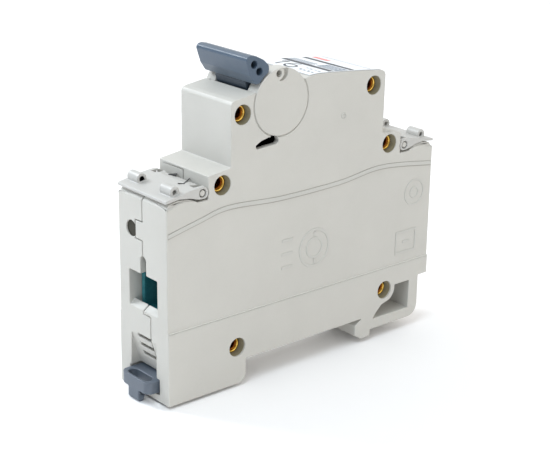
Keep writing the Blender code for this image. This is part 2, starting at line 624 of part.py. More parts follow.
def terminal(side, flip):
    """One box clamp with its screw: the screw stays in place and draws the cage up."""
    def at(x):
        return LENGTH - x if flip else x

    low, high = sorted((at(CAGE_LOW_X), at(CAGE_HIGH_X)))
    pivot = (at(SCREW_X), SCREW_Y, CAGE_LOW_Z)
    cage = box(f"clamp_cage_{side}", (low, 4.5, CAGE_LOW_Z), (high, 13.7, CAGE_HIGH_Z), STEEL, pivot=pivot)
    cut(cage, box(f"wire_room_{side}", (low - 1, 5.6, 18.5), (high + 1, 12.6, 30.2)))
    cut(cage, rod(f"thread_{side}", "Z", (at(SCREW_X), SCREW_Y), 2.3, 29.0, 34.0))
    profile = [
        (0, 29.95), (1.5, 29.95), (2.0, 30.5), (2.0, 39.8), (2.95, 39.8), (2.95, 41.9), (2.6, 42.2),
        (0, 42.2),
    ]
    x, y = at(SCREW_X), SCREW_Y
    screw = turned(f"terminal_screw_{side}", profile, "Z", (x, y), STEEL, pivot=(x, y, 36.0))
    cut(screw, box(f"driver_slot_{side}", (x - 4, y - 0.45, 41.0), (x + 4, y + 0.45, 43.0)))
    cut(screw, box(f"driver_cross_{side}", (x - 0.45, y - 1.6, 41.0), (x + 0.45, y + 1.6, 43.0)))


terminal("left", False)
terminal("right", True)


def make_conductors():
    load = [
        (2.4, PLATE_LOW_Z), (18.2, PLATE_LOW_Z), (18.2, 22.4), (19.4, 22.4), (19.4, PLATE_HIGH_Z),
        (2.4, PLATE_HIGH_Z),
    ]
    prism("load_terminal_plate", load, 5.9, 12.3, COPPER)
    line = [
        (62.2, 26.2), (63.4, 26.2), (63.4, PLATE_LOW_Z), (76.4, PLATE_LOW_Z), (76.4, PLATE_HIGH_Z),
        (62.2, PLATE_HIGH_Z),
    ]
    prism("line_terminal_plate", line, 5.9, 12.3, COPPER)
    box("bimetal_strip", (19.8, 8.4, 22.6), (20.6, 14.2, 44.8), BRASS)
    adjuster = [(0, 12.4), (1.4, 12.4), (1.4, 18.7), (0.8, 19.4), (0, 19.4)]
    screw = turned("calibration_screw", adjuster, "X", (12.9, 37.5), BRASS, steps=14)
    cut(screw, box("adjuster_slot", (12.0, 12.65, 34.0), (13.2, 13.15, 41.0)))
    braid = [
        (21.7, 11.6, 25.2), (23.2, 11.8, 23.6), (25.4, 12.2, 23.0), (27.8, 12.6, 23.8), (29.6, 12.6, 26.0),
        (30.8, 12.6, 28.8),
    ]
    wire("flexible_braid", braid, 0.9, COPPER, sides=6)


make_conductors()


# ---------------------------------------------------------------- covers, label, rail clip

def make_cover(name, flip):
    """A hinged terminal cover: a thin plate, an ear on each side and two sealing lugs."""
    def side(outline):
        return mirrored(outline) if flip else outline

    hinge = (LENGTH - HINGE_X if flip else HINGE_X, MIDDLE_Y, HINGE_Z)
    top = [(-0.15, 46.65), (0.3, 46.85), (3.0, 47.35), (6.0, 47.85), (8.3, 48.1)]
    crown = arc((HINGE_X, HINGE_Z), 1.45, 100, -62, 7)
    ear = [(-0.15, 46.1), (3.3, 46.55), (5.9, 46.25), (7.6, 45.75), (8.6, 45.5)]
    plate = [(-0.15, 46.1), (3.3, 46.55), (8.0, 46.9), (10.45, 46.9), (10.5, 47.5), (10.15, 47.85)] + top[::-1]
    cover = prism(name, side(plate), 0.35, WIDTH - 0.35, COVER, pivot=hinge)
    for tag, low, high in (("a", SIDE_STEP, COVER_EAR), ("b", WIDTH - COVER_EAR, WIDTH - SIDE_STEP)):
        join(cover, prism(f"{name}_ear{tag}", side(ear + crown[::-1] + top[::-1]), low, high))
        cut(cover, rod(f"{name}_eye{tag}", "Y", (hinge[0], HINGE_Z), 0.95, low - 1, high + 0.1, steps=14))
    notch_y = HINGE_LUG_Y + GAP
    for tag, low, high in (("a", COVER_EAR, notch_y), ("b", WIDTH - notch_y, WIDTH - COVER_EAR)):
        notch = [(8.0, 45.0), (12.0, 45.0), (12.0, 49.5), (8.0, 49.5)]
        cut(cover, prism(f"{name}_notch{tag}", side(notch), low, high))
    for tag, low, high in (("a", 1.35, 5.2), ("b", 13.1, 16.9)):
        lug = arc((3.0, 47.95), 1.25, -30, 210, 8) + [(1.4, 46.6), (4.6, 46.6)]
        join(cover, prism(f"{name}_lug{tag}", side(lug), low, high))
        eye = (LENGTH - 3.0 if flip else 3.0, 47.95)
        cut(cover, rod(f"{name}_lug_eye{tag}", "Y", eye, 0.5, low - 1, high + 1, steps=10))
    return cover


make_cover("terminal_cover_left", False)
make_cover("terminal_cover_right", True)


def make_label():
    """A foil on the front face, 0.15 mm thick, just clear of the plastic."""
    face = [(60.6, 65.9)] + FRONT_FACE[3:8]
    face = [(x, z + 0.05) for x, z in face]
    outline = face + [(x, z + 0.15) for x, z in face[::-1]]
    prism("front_label", outline, 0.7, WIDTH - 0.7, LABEL)


make_label()


def make_clip():
    """The sliding rail clip: pull tab outside, two arms in the channel, a wedge tip under the rail."""
    pivot = (CLIP_FRONT_X, MIDDLE_Y, CLIP_LOW_Z)
    y0, y1 = CLIP_LOW_Y, CLIP_HIGH_Y
    plan = (
        arc((CLIP_FRONT_X + 1.6, y0 + 1.6), 1.6, 180, 270, 4)
        + [(20.6, y0), (20.6, y1)]
        + arc((CLIP_FRONT_X + 1.6, y1 - 1.6), 1.6, 90, 180, 4)
    )
    clip = prism("din_clip", plan, CLIP_LOW_Z, CLIP_HIGH_Z, CLIP, axis="Z", pivot=pivot)
    tip = [(19.0, 2.3), (CLIP_TIP_X, 2.3), (CLIP_TIP_X, 3.0), (21.4, 4.3), (19.0, 4.3)]
    join(clip, prism("clip_tip", tip, y0 + 0.8, y1 - 0.8))
    eye = arc((-1.05, 6.4), 1.15, 180, 360, 6) + arc((-1.05, 11.6), 1.15, 0, 180, 6)
    cut(clip, prism("clip_eye", eye, 0, 6, axis="Z"))
    cut(clip, box("spring_bay", (7.2, 6.8, 0), (17.2, 11.2, 7)))
    nub = [(CLIP_FRONT_X, 3.0), (CLIP_FRONT_X, -0.2), (-2.5, -0.7), (-1.6, -0.7), (-1.1, 0.2), (-0.9, 3.0)]
    join(clip, prism("clip_nub", nub, 7.4, 11.2))
    cut(clip, box("clip_eye_nub", (-2.2, 7.0, 0.9), (0.1, 11.6, 6)))
    return clip


make_clip()
wire("clip_spring", helix("X", (MIDDLE_Y, 3.5), 1.15, 9.5, 16.6, 6), 0.22, STEEL)
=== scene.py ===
"""Looks of a single-pole circuit breaker for a 35 mm rail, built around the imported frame."""

import json
import math

import bmesh
import bpy
from mathutils import Matrix, Vector


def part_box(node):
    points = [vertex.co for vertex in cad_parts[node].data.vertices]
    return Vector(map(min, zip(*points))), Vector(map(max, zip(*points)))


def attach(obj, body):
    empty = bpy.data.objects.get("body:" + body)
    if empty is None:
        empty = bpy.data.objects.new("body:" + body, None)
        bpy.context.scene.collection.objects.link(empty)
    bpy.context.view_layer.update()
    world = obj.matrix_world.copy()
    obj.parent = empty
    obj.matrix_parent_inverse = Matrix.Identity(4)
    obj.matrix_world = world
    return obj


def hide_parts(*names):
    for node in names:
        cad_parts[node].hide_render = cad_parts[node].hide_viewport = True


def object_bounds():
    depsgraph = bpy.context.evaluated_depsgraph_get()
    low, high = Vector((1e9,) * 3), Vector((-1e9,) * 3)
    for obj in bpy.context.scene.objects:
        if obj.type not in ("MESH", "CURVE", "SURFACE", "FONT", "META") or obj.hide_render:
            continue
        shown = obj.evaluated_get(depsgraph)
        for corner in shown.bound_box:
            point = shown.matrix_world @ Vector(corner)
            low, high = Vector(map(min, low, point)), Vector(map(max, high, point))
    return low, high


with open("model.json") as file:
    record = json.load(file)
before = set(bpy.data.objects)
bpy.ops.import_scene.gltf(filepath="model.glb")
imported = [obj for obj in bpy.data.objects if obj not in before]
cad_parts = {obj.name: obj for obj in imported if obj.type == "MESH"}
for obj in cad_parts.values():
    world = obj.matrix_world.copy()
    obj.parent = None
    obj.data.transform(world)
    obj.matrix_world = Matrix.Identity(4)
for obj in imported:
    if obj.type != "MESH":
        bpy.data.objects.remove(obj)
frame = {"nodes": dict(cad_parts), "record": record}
CAD_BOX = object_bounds()

MM = 0.001
NODES = frame["nodes"]

# Case millimetres: x from the outgoing end, y from the near side, z from the clip foot's underside.
SHELL_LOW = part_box("housing_base")[0]
NEAR_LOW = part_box("housing_cover")[0]
CORNER = Vector((SHELL_LOW.x, NEAR_LOW.y, SHELL_LOW.z))
LENGTH = (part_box("housing_base")[1].x - SHELL_LOW.x) / MM
WIDTH = (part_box("housing_base")[1].y - NEAR_LOW.y) / MM


def at(x, y, z):
    return CORNER + Vector((x, y, z)) * MM


# ---------------------------------------------------------------- materials

def nodes_of(name):
    made = bpy.data.materials.new(name)
    made.use_nodes = True
    tree = made.node_tree
    shader = tree.nodes["Principled BSDF"]
    return made, tree, shader


def new(tree, kind, **values):
    node = tree.nodes.new(kind)
    for key, value in values.items():
        if key.startswith("in_"):
            name = key[3:].replace("_", " ")
            node.inputs[name].default_value = value
        else:
            setattr(node, key, value)
    return node


def noise_of(tree, coords, scale, detail=2.0, rough=0.5):
    node = tree.nodes.new("ShaderNodeTexNoise")
    node.inputs["Scale"].default_value = scale
    node.inputs["Detail"].default_value = detail
    node.inputs["Roughness"].default_value = rough
    tree.links.new(coords, node.inputs["Vector"])
    return node


def ramp_of(tree, source, stops):
    node = tree.nodes.new("ShaderNodeValToRGB")
    elements = node.color_ramp.elements
    while len(elements) < len(stops):
        elements.new(0.5)
    for element, (where, colour) in zip(elements, stops):
        element.position = where
        element.color = (*colour, 1.0)
    tree.links.new(source, node.inputs["Fac"])
    return node


def range_of(tree, source, low, high, from_low=0.0, from_high=1.0):
    node = tree.nodes.new("ShaderNodeMapRange")
    node.inputs["From Min"].default_value = from_low
    node.inputs["From Max"].default_value = from_high
    node.inputs["To Min"].default_value = low
    node.inputs["To Max"].default_value = high
    tree.links.new(source, node.inputs["Value"])
    return node.outputs["Result"]


def bumps(tree, shader, layers):
    """Stacks bump layers: (height output, depth in metres, strength)."""
    normal = None
    for height, depth, strength in layers:
        node = tree.nodes.new("ShaderNodeBump")
        node.inputs["Distance"].default_value = depth
        node.inputs["Strength"].default_value = strength
        tree.links.new(height, node.inputs["Height"])
        if normal is not None:
            tree.links.new(normal, node.inputs["Normal"])
        normal = node.outputs["Normal"]
    tree.links.new(normal, shader.inputs["Normal"])


def shade(colour, factor):
    return tuple(min(1.0, c * factor) for c in colour)


def plastic(name, colour, rough=(0.42, 0.55), grain=1.0, mottle=0.05, specular=0.45, scatter=0.0):
    """Moulded plastic: fine spark-eroded grain, slow mottling and faint flow marks."""
    made, tree, shader = nodes_of(name)
    coords = new(tree, "ShaderNodeTexCoord").outputs["Object"]
    broad = noise_of(tree, coords, 90.0, 3.0, 0.55)
    speck = noise_of(tree, coords, 2600.0, 2.0, 0.6)
    mix = new(tree, "ShaderNodeMix", data_type="FLOAT")
    mix.inputs["Factor"].default_value = 0.3
    tree.links.new(broad.outputs["Fac"], mix.inputs[2])
    tree.links.new(speck.outputs["Fac"], mix.inputs[3])
    stops = [(0.3, shade(colour, 1 - mottle)), (0.7, shade(colour, 1 + mottle))]
    ramp = ramp_of(tree, mix.outputs[0], stops)
    tree.links.new(ramp.outputs["Color"], shader.inputs["Base Color"])
    patch = noise_of(tree, coords, 320.0, 2.0)
    gloss = range_of(tree, patch.outputs["Fac"], rough[0], rough[1], 0.3, 0.7)
    tree.links.new(gloss, shader.inputs["Roughness"])
    shader.inputs["Specular IOR Level"].default_value = specular
    if scatter:
        shader.inputs["Subsurface Weight"].default_value = scatter
        shader.inputs["Subsurface Radius"].default_value = (0.0012, 0.001, 0.0009)
        shader.inputs["Subsurface Scale"].default_value = 1.0
    fine = noise_of(tree, coords, 3800.0, 3.0, 0.6)
    slow = noise_of(tree, coords, 60.0, 2.0, 0.5)
    layers = [(slow.outputs["Fac"], 0.00025, 0.25), (fine.outputs["Fac"], 0.000012 * grain, 0.6)]
    bumps(tree, shader, layers)
    return made


def metal(name, colour, tint, rough=(0.25, 0.45), scratch=(1.0, 1.0, 14.0), depth=0.000008, metallic=1.0):
    """Plated or drawn metal: two tones in slow patches, with fine directional scratches."""
    made, tree, shader = nodes_of(name)
    coords = new(tree, "ShaderNodeTexCoord").outputs["Object"]
    stretch = new(tree, "ShaderNodeMapping")
    stretch.inputs["Scale"].default_value = scratch
    tree.links.new(coords, stretch.inputs["Vector"])
    patch = noise_of(tree, coords, 420.0, 4.0, 0.6)
    ramp = ramp_of(tree, patch.outputs["Fac"], [(0.35, colour), (0.68, tint)])
    tree.links.new(ramp.outputs["Color"], shader.inputs["Base Color"])
    lines = noise_of(tree, stretch.outputs["Vector"], 1400.0, 3.0, 0.6)
    gloss = range_of(tree, lines.outputs["Fac"], rough[0], rough[1], 0.3, 0.7)
    tree.links.new(gloss, shader.inputs["Roughness"])
    shader.inputs["Metallic"].default_value = metallic
    bumps(tree, shader, [(lines.outputs["Fac"], depth, 0.5)])
    return made


HOUSING = plastic("housing_plastic_look", (0.52, 0.505, 0.465), mottle=0.03, scatter=0.05)
# A lighter plastic for the strip along the side step: painted highlight.
STEP_HIGHLIGHT = plastic("step_edge_painted_highlight_look", (0.66, 0.65, 0.60), mottle=0.03)
MARKS = plastic("moulded_marks_look", (0.50, 0.49, 0.455), mottle=0.03)
# A darker plastic for the thin strips along the band's edges: painted shade.
BAND_EDGE_SHADE = plastic("band_edge_painted_shade_look", (0.33, 0.315, 0.28), rough=(0.6, 0.7), mottle=0.1)
# A dark olive-brown for the sleeve lining each rivet's counterbore: painted shade with a painted brass
# reflection.
WELL_SHADE = plastic("counterbore_wall_painted_shade_look", (0.20, 0.17, 0.095), rough=(0.35, 0.5), mottle=0.15)
COVER = plastic("cover_plastic_look", (0.475, 0.465, 0.44), rough=(0.35, 0.5), mottle=0.02, scatter=0.06)
TOGGLE = plastic("toggle_plastic_look", (0.066, 0.096, 0.136), rough=(0.3, 0.4), grain=0.4, mottle=0.06)
# A darker toggle plastic for the web under the handle: painted shade.
TOGGLE_SHADE = plastic("toggle_shade_look", (0.035, 0.05, 0.07), rough=(0.35, 0.45), grain=0.4, mottle=0.06)
CLIP = plastic("clip_plastic_look", (0.105, 0.125, 0.155), rough=(0.3, 0.44), mottle=0.08)
SHADE = plastic("window_shade_look", (0.024, 0.021, 0.012), rough=(0.6, 0.7), mottle=0.2)
# Dark inner plastic, also laid on the cover's top as painted shade in the slits.
INNER_AND_SLIT_SHADE = plastic("inner_plastic_and_slit_shade_look", (0.018, 0.018, 0.02), rough=(0.35, 0.5))
FIBRE = plastic("fibre_board_look", (0.30, 0.085, 0.045), rough=(0.7, 0.85), grain=3.0, mottle=0.2)
BRASS = metal("brass_look", (0.85, 0.56, 0.12), (0.58, 0.32, 0.06), (0.12, 0.28))
# Brass darkened and reddened for the inside of the rivet bores: painted shade.
BRASS_BORE_SHADE = metal("brass_bore_painted_shade_look", (0.30, 0.10, 0.012), (0.14, 0.035, 0.008), (0.25, 0.45))
CLAMP = metal("clamp_look", (0.05, 0.26, 0.29), (0.02, 0.15, 0.18), (0.25, 0.4), (1, 1, 8), metallic=0.35)
ZINC = metal("zinc_steel_look", (0.35, 0.45, 0.47), (0.20, 0.33, 0.36), (0.22, 0.4), (1, 1, 8))
STEEL = metal("bright_steel_look", (0.56, 0.57, 0.58), (0.42, 0.43, 0.45), (0.22, 0.42), (10, 1, 1))
COPPER = metal("copper_look", (0.80, 0.36, 0.20), (0.55, 0.24, 0.14), (0.25, 0.45), (8, 1, 1))
ENAMEL = metal("enamelled_wire_look", (0.62, 0.19, 0.07), (0.42, 0.11, 0.04), (0.16, 0.26), (1, 1, 1))
SILVER = metal("silver_contact_look", (0.80, 0.79, 0.76), (0.60, 0.59, 0.56), (0.3, 0.5), (1, 1, 1))
FOIL = plastic("label_foil_look", (0.74, 0.76, 0.78), rough=(0.28, 0.36), grain=0.3, mottle=0.015)
INK = plastic("dark_ink_look", (0.035, 0.042, 0.055), rough=(0.4, 0.5), grain=0.3)
GREY_INK = plastic("grey_ink_look", (0.16, 0.20, 0.25), rough=(0.4, 0.5), grain=0.3)
PINK_INK = plastic("red_ink_look", (0.75, 0.23, 0.22), rough=(0.4, 0.5), grain=0.3)

SLOT_LOOKS = {
    "housing_plastic": HOUSING, "cover_plastic": COVER, "toggle_plastic": TOGGLE, "clip_plastic": CLIP,
    "inner_plastic": INNER_AND_SLIT_SHADE, "fibre": FIBRE, "brass": BRASS, "zinc_steel": STEEL, "copper": COPPER,
    "silver": SILVER, "label_foil": FOIL,
}
NODE_SLOT = {part["node"]: part["material_slot"] for part in frame["record"]["subparts"]}
NODE_BODY = {n: body for body, names in frame["record"]["behaviour"]["bodies"].items() for n in names}

OWN_LOOKS = {
    "clamp_cage_left": CLAMP, "clamp_cage_right": CLAMP, "coil": ENAMEL, "load_terminal_plate": ZINC,
    "line_terminal_plate": ZINC, "terminal_screw_left": ZINC, "terminal_screw_right": ZINC,
}
for node_name, node in NODES.items():
    node.data.materials.clear()
    node.data.materials.append(OWN_LOOKS.get(node_name) or SLOT_LOOKS[NODE_SLOT[node_name]])


# ---------------------------------------------------------------- mesh helpers

def linked(name, mesh, look, body):
    """Puts a mesh in the scene as a piece that rides on a body."""
    made = bpy.data.objects.new(name, mesh)
    bpy.context.scene.collection.objects.link(made)
    mesh.materials.clear()
    mesh.materials.append(look)
    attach(made, body)
    return made


def join_rings(bm, ring, after):
    """Faces between two closed rings of as many corners."""
    for i in range(len(ring)):
        j = (i + 1) % len(ring)
        bm.faces.new((ring[i], ring[j], after[j], after[i]))


def join_rows(bm, rows):
    """Faces along a strip of (left, right) pairs of corners."""
    for row, after in zip(rows, rows[1:]):
        bm.faces.new((row[0], after[0], after[1], row[1]))


def piece(bm, name, look, body, recalculate=True, smooth=False):
    """Turns a built mesh into a piece in the scene."""
    if recalculate:
        bmesh.ops.recalc_face_normals(bm, faces=bm.faces)
    mesh = bpy.data.meshes.new(name)
    bm.to_mesh(mesh)
    bm.free()
    if smooth:
        mesh.shade_smooth()
    return linked(name, mesh, look, body)


# The joint between the shells: across the case up to the front seam's height, then near the far side.
SIDE_SEAM_Y = 9.1
FRONT_SEAM_Y = 16.2
FRONT_SEAM_Z = 49.5
HALF_GAP = 0.12
HAIRLINE = 0.01


def close_seam(bm):
    """Above the covers the two shells meet without a visible joint."""
    for vert in bm.verts:
        place = (vert.co - CORNER) / MM
        if place.z > FRONT_SEAM_Z - 0.1 and abs(place.y - (FRONT_SEAM_Y - HALF_GAP)) < 0.02:
            vert.co.y = CORNER.y + (FRONT_SEAM_Y + HALF_GAP - HAIRLINE) * MM
        if place.y > SIDE_SEAM_Y - 0.1 and abs(place.z - (FRONT_SEAM_Z + HALF_GAP)) < 0.02:
            vert.co.z = CORNER.z + (FRONT_SEAM_Z - HALF_GAP + HAIRLINE) * MM


def on_closed_seam(edge):
    """True for an edge of the faces that meet at the closed seam, which stays sharp."""
    ends = [(v.co - CORNER) / MM for v in edge.verts]
    beside = all(p.z > FRONT_SEAM_Z - 0.2 and FRONT_SEAM_Y < p.y < FRONT_SEAM_Y + 0.2 for p in ends)
    under = all(
        p.y > SIDE_SEAM_Y - 0.1 and FRONT_SEAM_Z - 0.2 < p.z < FRONT_SEAM_Z - 0.05 for p in ends
    )
    return beside or under


# A face over this area in square metres counts as a large flat one.
LARGE = 3e-6


def flatten(bm, reach=0.4):
    """Brings the stray corners of every large level face back to its plane."""
    for face in bm.faces:
        axis = max(range(3), key=lambda k: abs(face.normal[k]))
        if face.calc_area() < LARGE or abs(face.normal[axis]) < 0.99:
            continue
        values = sorted(v.co[axis] for v in face.verts)
        level = values[len(values) // 2]
        at_level = sum(abs(v - level) < 1e-6 for v in values)
        if at_level < 0.6 * len(values) or values[-1] - values[0] > reach * MM:
            continue
        for vert in face.verts:
            vert.co[axis] = level


def refill(bm, least_corners=16):
    """Fills the flat side faces again from their outlines, holes left open, and flags the new faces."""
    bm.normal_update()
    half = WIDTH / 2
    middle = CORNER.y + half * MM
    side_faces = [
        f for f in bm.faces
        if f.calc_area() > LARGE and abs(f.normal.y) > 0.99999
        and (f.verts[0].co.y - middle) * f.normal.y > (half - 0.5) * MM
    ]
    taken = set()
    groups = []
    for first in side_faces:
        if first in taken:
            continue
        level = first.verts[0].co.y
        group = [first]
        taken.add(first)
        for face in group:
            for edge in face.edges:
                for other in edge.link_faces:
                    if other not in taken and all(abs(v.co.y - level) < 2e-6 for v in other.verts):
                        taken.add(other)
                        group.append(other)
        if sum(len(f.verts) for f in group) >= least_corners:
            groups.append((group, first.normal.copy()))
    for group, normal in groups:
        members = set(group)
        outline = [e for f in group for e in f.edges if sum(g in members for g in e.link_faces) == 1]
        bmesh.ops.delete(bm, geom=group, context="FACES")
        filled = bmesh.ops.triangle_fill(
            bm, use_beauty=True, use_dissolve=False, edges=outline, normal=normal
        )
        for item in filled["geom"]:
            if isinstance(item, bmesh.types.BMFace):
                item.material_index = 1
                item.normal_update()
                if item.normal.dot(normal) < 0:
                    item.normal_flip()


def harden(mesh, within=55.0):
    """Gives large faces their own normal right up to their rounded edges."""
    broad = [f.area > LARGE or f.material_index == 1 for f in mesh.polygons]
    limit = math.cos(math.radians(within))
    around = {}
    for face in mesh.polygons:
        for index in face.vertices:
            around.setdefault(index, []).append(face)
    normals = []
    for face in mesh.polygons:
        for index in face.vertices:
            near = [f for f in around[index] if f.normal.dot(face.normal) > limit]
            large = [f for f in near if broad[f.index]]
            if broad[face.index]:
                normals.append(face.normal.copy())
            elif large:
                normals.append(max(large, key=lambda f: f.normal.dot(face.normal)).normal.copy())
            else:
                mean = sum((f.normal * f.area for f in near), Vector())
                normals.append(mean.normalized() if mean.length > 0 else face.normal.copy())
    mesh.normals_split_custom_set(normals)
    for face in mesh.polygons:
        face.material_index = 0


def moulded(node_name, radius, segments=2, sharper_than=32.0, weld=2e-6, prepare=None):
    """The CAD solid with its edges rounded, standing for the node."""
    bm = bmesh.new()
    bm.from_mesh(NODES[node_name].data)
    bmesh.ops.remove_doubles(bm, verts=bm.verts, dist=weld)
    if prepare:
        prepare(bm)
    bmesh.ops.dissolve_degenerate(bm, dist=2e-6, edges=bm.edges)
    bmesh.ops.dissolve_limit(
        bm, angle_limit=math.radians(0.6), verts=bm.verts, edges=bm.edges, delimit={"NORMAL"}
    )
    sharp = []
    for edge in bm.edges:
        if len(edge.link_faces) != 2 or edge.calc_face_angle(0) < math.radians(sharper_than):
            continue
        if prepare and on_closed_seam(edge):
            continue
        sharp.append(edge)
    bmesh.ops.bevel(
        bm, geom=sharp, offset=radius * MM, offset_type="OFFSET", segments=segments, profile=0.5,
        affect="EDGES", clamp_overlap=False, loop_slide=True, miter_outer="ARC",
    )
    flatten(bm)
    if prepare:
        refill(bm)
    mesh = bpy.data.meshes.new(node_name + "_moulded")
    bm.to_mesh(mesh)
    bm.free()
    mesh.shade_smooth()
    harden(mesh)
    slot_name = NODE_SLOT[node_name]
    made = linked(node_name + "_moulded", mesh, SLOT_LOOKS[slot_name], NODE_BODY[node_name])
    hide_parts(node_name)
    return made


def lathe(name, profile, centre, look, body, steps=40):
    """A closed (radius, y) profile turned about a line along Y through (x, z)."""
    bm = bmesh.new()
    rings = []
    for radius, y in profile:
        ring = []
        for i in range(steps):
            a = 2 * math.pi * i / steps
            x, z = centre[0] + radius * math.cos(a), centre[1] + radius * math.sin(a)
            ring.append(bm.verts.new(at(x, y, z)))
        rings.append(ring)
    for ring, after in zip(rings, rings[1:] + rings[:1]):
        join_rings(bm, ring, after)
    return piece(bm, name, look, body, smooth=True)


# ---------------------------------------------------------------- moulded shells and covers

moulded("housing_cover", 0.2, weld=3e-5, prepare=close_seam)
moulded("housing_base", 0.2, weld=3e-5, prepare=close_seam)
moulded("terminal_cover_left", 0.16)
moulded("terminal_cover_right", 0.16)
moulded("toggle", 0.15, segments=3)
moulded("din_clip", 0.22)


# ---------------------------------------------------------------- small pieces on the toggle and covers

def slab(name, outline, low, high, look, body, axis="Y"):
    """A closed outline drawn across an axis, its two numbers along the other two, between two depths."""
    def spot(p, depth):
        where = list(p)
        where.insert("XYZ".index(axis), depth)
        return at(*where)

    bm = bmesh.new()
    bottom = [bm.verts.new(spot(p, low)) for p in outline]
    top = [bm.verts.new(spot(p, high)) for p in outline]
    bm.faces.new(bottom)
    bm.faces.new(top)
    join_rings(bm, bottom, top)
    return piece(bm, name, look, body)


# The web under the handle, from the drum's near end to its far end, darkened with painted shade.
APRON = [
    (23.62, 68.3), (23.75, 67.3), (24.15, 66.2), (24.75, 65.1), (26.2, 64.4), (26.5, 67.2), (25.0, 68.6),
]
slab("toggle_apron", APRON, 3.95, 14.25, TOGGLE_SHADE, "toggle")

# The slits by the hinge lugs: thin dark plates on the cover's top, painted shade standing for the gaps
# seen from above.
COVER_TOP = 48.04
SLIT_HEIGHT = 0.1
SLITS = (
    [(6.8, 5.5), (7.8, 4.5), (11.3, 6.9), (11.3, 7.2), (7.8, 4.85), (7.0, 5.7)],
    [(9.1, 12.1), (11.0, 11.3), (9.8, 9.9)],
)
for tag, body, turned in (("left", "cover_left", False), ("right", "cover_right", True)):
    for i, outline in enumerate(SLITS):
        points = [(LENGTH - x, y) for x, y in outline] if turned else outline
        top = COVER_TOP + SLIT_HEIGHT
        slab(f"cover_slit_shade_{tag}_{i}", points, COVER_TOP, top, INNER_AND_SLIT_SHADE, body, axis="Z")


# A dark disc of painted shade fills the round window in the clip-end wall, standing for the dark inside.
WINDOW_CENTRE = (13.1, 37.5)
WINDOW_RADIUS = 2.0
WINDOW_STEPS = 24
window = []
for i in range(WINDOW_STEPS):
    turn = math.radians(360 / WINDOW_STEPS * i)
    y = WINDOW_CENTRE[0] + WINDOW_RADIUS * math.cos(turn)
    window.append((y, WINDOW_CENTRE[1] + WINDOW_RADIUS * math.sin(turn)))
slab("end_window_painted_shade", window, 0.35, 0.4, SHADE, "housing", axis="X")


# ---------------------------------------------------------------- brass rivets

# Half profiles as (radius, depth under the rivet's end), the same at both ends.
RIM = [
    (1.16, 0.75), (1.28, 0.35), (1.42, 0.08), (1.62, 0.0), (1.84, 0.08), (1.97, 0.3), (1.93, 0.55),
    (1.6, 0.75), (1.45, 1.1),
]
BORE = [(1.24, 0.42), (1.12, 0.9), (0.98, 1.6)]
BORE_OUTSIDE = (1.3, 0.45)
WELL_RADIUS = 2.205
WELL_INSIDE = 2.16
WELL_FLOOR = 1.9
WELL_SKIN = 0.06
WELL_LIP = 0.5


def both_ends(half, near, far):
    """The half profile at the near end, then the same one at the far end the other way round."""
    return [(r, near + depth) for r, depth in half] + [(r, far - depth) for r, depth in reversed(half)]


for number in range(1, 7):
    low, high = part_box(f"rivet_{number}")
    middle = (low + high) / 2 - CORNER
    near = (low.y - CORNER.y) / MM
    far = (high.y - CORNER.y) / MM
    centre = (middle.x / MM, middle.z / MM)
    ring = lathe(f"rivet_{number}_rolled", both_ends(RIM, near, far), centre, BRASS, "housing")
    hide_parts(f"rivet_{number}")
    outside, depth = BORE_OUTSIDE
    bore = both_ends(BORE, near, far) + [(outside, far - depth), (outside, near + depth)]
    # The bore is lined with the darkened brass: painted shade in the hole.
    lathe(f"rivet_{number}_bore", bore, centre, BRASS_BORE_SHADE, "housing")
    for tag, lip, bottom in (("near", WELL_LIP, near + 0.4), ("far", WIDTH - WELL_LIP, far - 0.4)):
        floor_at = bottom - math.copysign(WELL_SKIN, bottom - lip)
        wall = [
            (WELL_INSIDE, lip), (WELL_INSIDE, floor_at), (WELL_FLOOR, floor_at), (WELL_FLOOR, bottom),
            (WELL_RADIUS, bottom), (WELL_RADIUS, lip),
        ]
        # The sleeve and floor in the counterbore carry painted shade with a painted brass reflection, in
        # place of the shadowed housing wall.
        lathe(f"rivet_{number}_well_shade_{tag}", wall, centre, WELL_SHADE, "housing")


# ---------------------------------------------------------------- raised band and marks on both sides

def plate(name, outline, side, low, high, look):
    """A flat piece standing off one side face, between two depths under the widest outside."""
    bm = bmesh.new()
    y_low, y_high = (low, high) if side < 0 else (WIDTH - low, WIDTH - high)
    bottom = [bm.verts.new(at(x, y_high, z)) for x, z in outline]
    top = [bm.verts.new(at(x, y_low, z)) for x, z in outline]
    bm.faces.new(top)
    join_rings(bm, bottom, top)
    return piece(bm, name, look, "housing")


def smooth_line(points, per_span=9):
    """A smooth curve through a few (x, z) points."""
    ends = [points[0], *points, points[-1]]
    line = []
    for a, b, c, d in zip(ends, ends[1:], ends[2:], ends[3:]):
        for i in range(per_span):
            t = i / per_span
            spot = []
            for k in range(2):
                spot.append(0.5 * (
                    2 * b[k] + (c[k] - a[k]) * t + (2 * a[k] - 5 * b[k] + 4 * c[k] - d[k]) * t * t
                    + (3 * b[k] - a[k] - 3 * c[k] + d[k]) * t ** 3
                ))
            line.append(tuple(spot))
    return line + [points[-1]]


def band(name, line, offsets, side, low, high, look):
    """A strip along a line, between two heights over it."""
    outline = [(x, z + offsets[0]) for x, z in line] + [(x, z + offsets[1]) for x, z in line[::-1]]
    return plate(name, outline, side, low, high, look)


